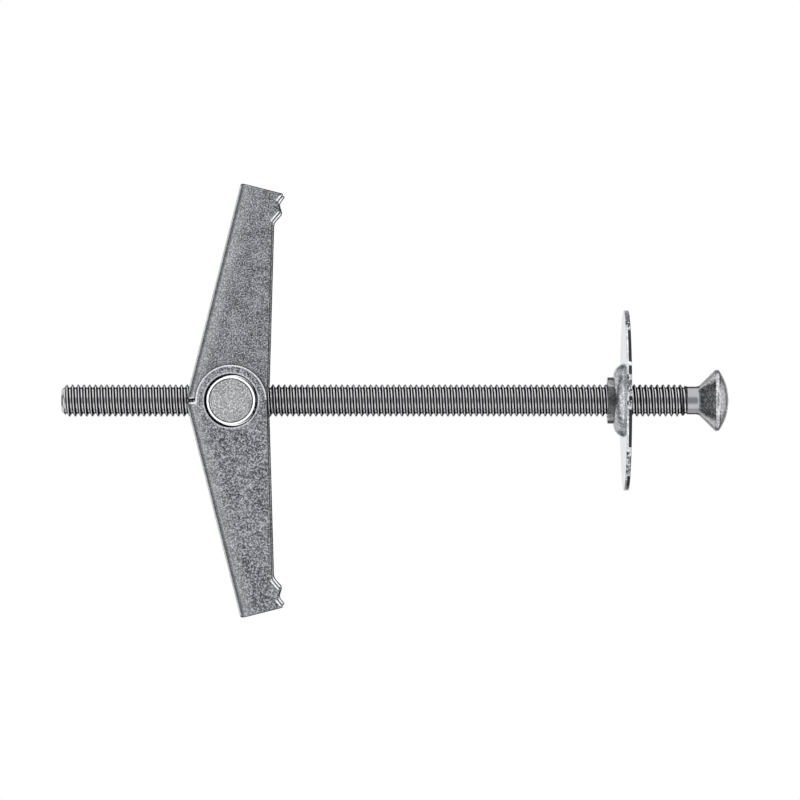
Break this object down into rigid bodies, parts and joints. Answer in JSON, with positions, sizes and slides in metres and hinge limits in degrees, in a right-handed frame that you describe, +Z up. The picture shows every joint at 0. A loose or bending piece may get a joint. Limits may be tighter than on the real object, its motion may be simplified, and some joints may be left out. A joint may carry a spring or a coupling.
{
  "type": "wall anchor",
  "caption": "Spring toggle wall anchor: machine screw through a pivot nut with two sprung folding wings that open behind a hollow wall, and a dished washer under the head.",
  "frame": {"origin": "on the screw's axis, in the plane of the washer face that rests on the wall", "axes": "+X along the screw from its tip to its head, out of the wall into the room; +Z up through the opened wings; +Y along the pivot of the wings"},
  "size_m": [0.0814, 0.022, 0.0528],
  "materials": {
    "screw_steel": "bright zinc plated, smooth",
    "washer_zinc": "zinc plated, pressed",
    "nut_zinc": "zinc plated, turned",
    "spring_steel": "drawn spring wire",
    "wing_zinc": "zinc plated sheet, matt and mottled"
  },
  "bodies": {
    "washer": {"washer": "washer_zinc"},
    "screw": {"screw": "screw_steel"},
    "toggle_nut": {"pivot_nut": "nut_zinc", "torsion_spring": "spring_steel"},
    "upper_wing": {"wing_upper": "wing_zinc"},
    "lower_wing": {"wing_lower": "wing_zinc"}
  },
  "joints": [
    {"name": "screw_spin", "type": "hinge", "parent": "washer", "child": "screw", "pos_m": [0, 0, 0], "axis": [-1, 0, 0], "range_deg": [-8645, 10085]},
    {"name": "toggle_travel", "type": "slide", "parent": "washer", "child": "toggle_nut", "axis": [1, 0, 0], "range_m": [-0.0168, 0.0196]},
    {"name": "upper_wing_fold", "type": "hinge", "parent": "toggle_nut", "child": "upper_wing", "pos_m": [-0.0478, 0, 0], "axis": [0, 1, 0], "range_deg": [0, 78], "stiffness_Nm_per_rad": 0.0184, "springref_deg": -45.84, "deforming": ["torsion_spring"]},
    {"name": "lower_wing_fold", "type": "hinge", "parent": "toggle_nut", "child": "lower_wing", "pos_m": [-0.0478, 0, 0], "axis": [0, -1, 0], "range_deg": [0, 78], "stiffness_Nm_per_rad": 0.0184, "springref_deg": -45.84, "deforming": ["torsion_spring"]}
  ],
  "couplings": [
    {"joint": "screw_spin", "follows": "toggle_travel", "rad_per_m": 8976}
  ]
}
